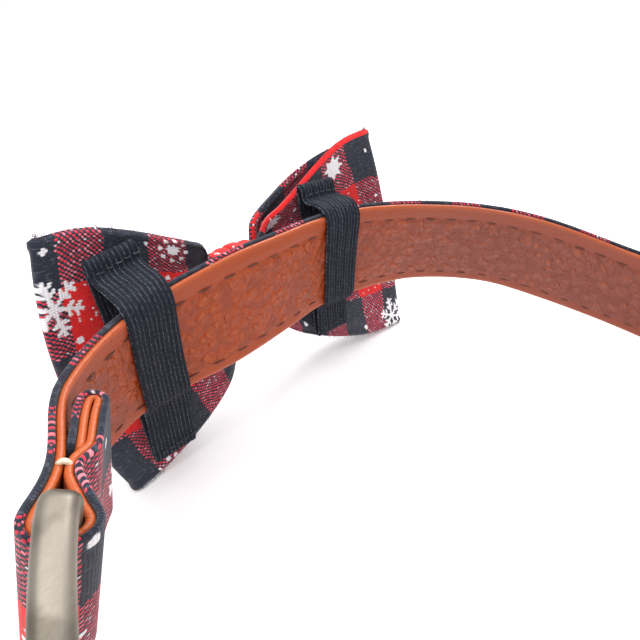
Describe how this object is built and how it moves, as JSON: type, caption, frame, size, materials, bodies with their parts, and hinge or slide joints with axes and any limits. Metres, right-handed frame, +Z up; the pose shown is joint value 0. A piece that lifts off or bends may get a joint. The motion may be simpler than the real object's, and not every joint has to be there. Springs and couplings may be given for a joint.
{
  "type": "pet bow tie collar",
  "caption": "Leather-lined plaid pet collar closed into a loop by a plain clasp, with a pinched cloth bow tie held on it by elastic loops.",
  "frame": {"origin": "centre of the whole part's box on the surface it stands on", "axes": "+Z up, the bow's face looks along -Y and the neck opening lies behind it at +Y, +X towards the clasp's side of the loop"},
  "size_m": [0.1328, 0.1428, 0.0487],
  "materials": {
    "leather": "pebbled orange-brown leather with a satin sheen",
    "strap_plaid": "red and black woven check with small white print",
    "clasp_metal": "satin grey metal",
    "bow_plaid": "red and black woven check with small white print",
    "elastic": "ribbed navy-black woven elastic"
  },
  "bodies": {
    "root": {"strap_lining": "leather", "strap_cover": "strap_plaid", "clasp": "clasp_metal", "bow_band": "bow_plaid", "bow_knot": "bow_plaid", "elastic_left": "elastic", "elastic_right": "elastic"}
  },
  "joints": []
}
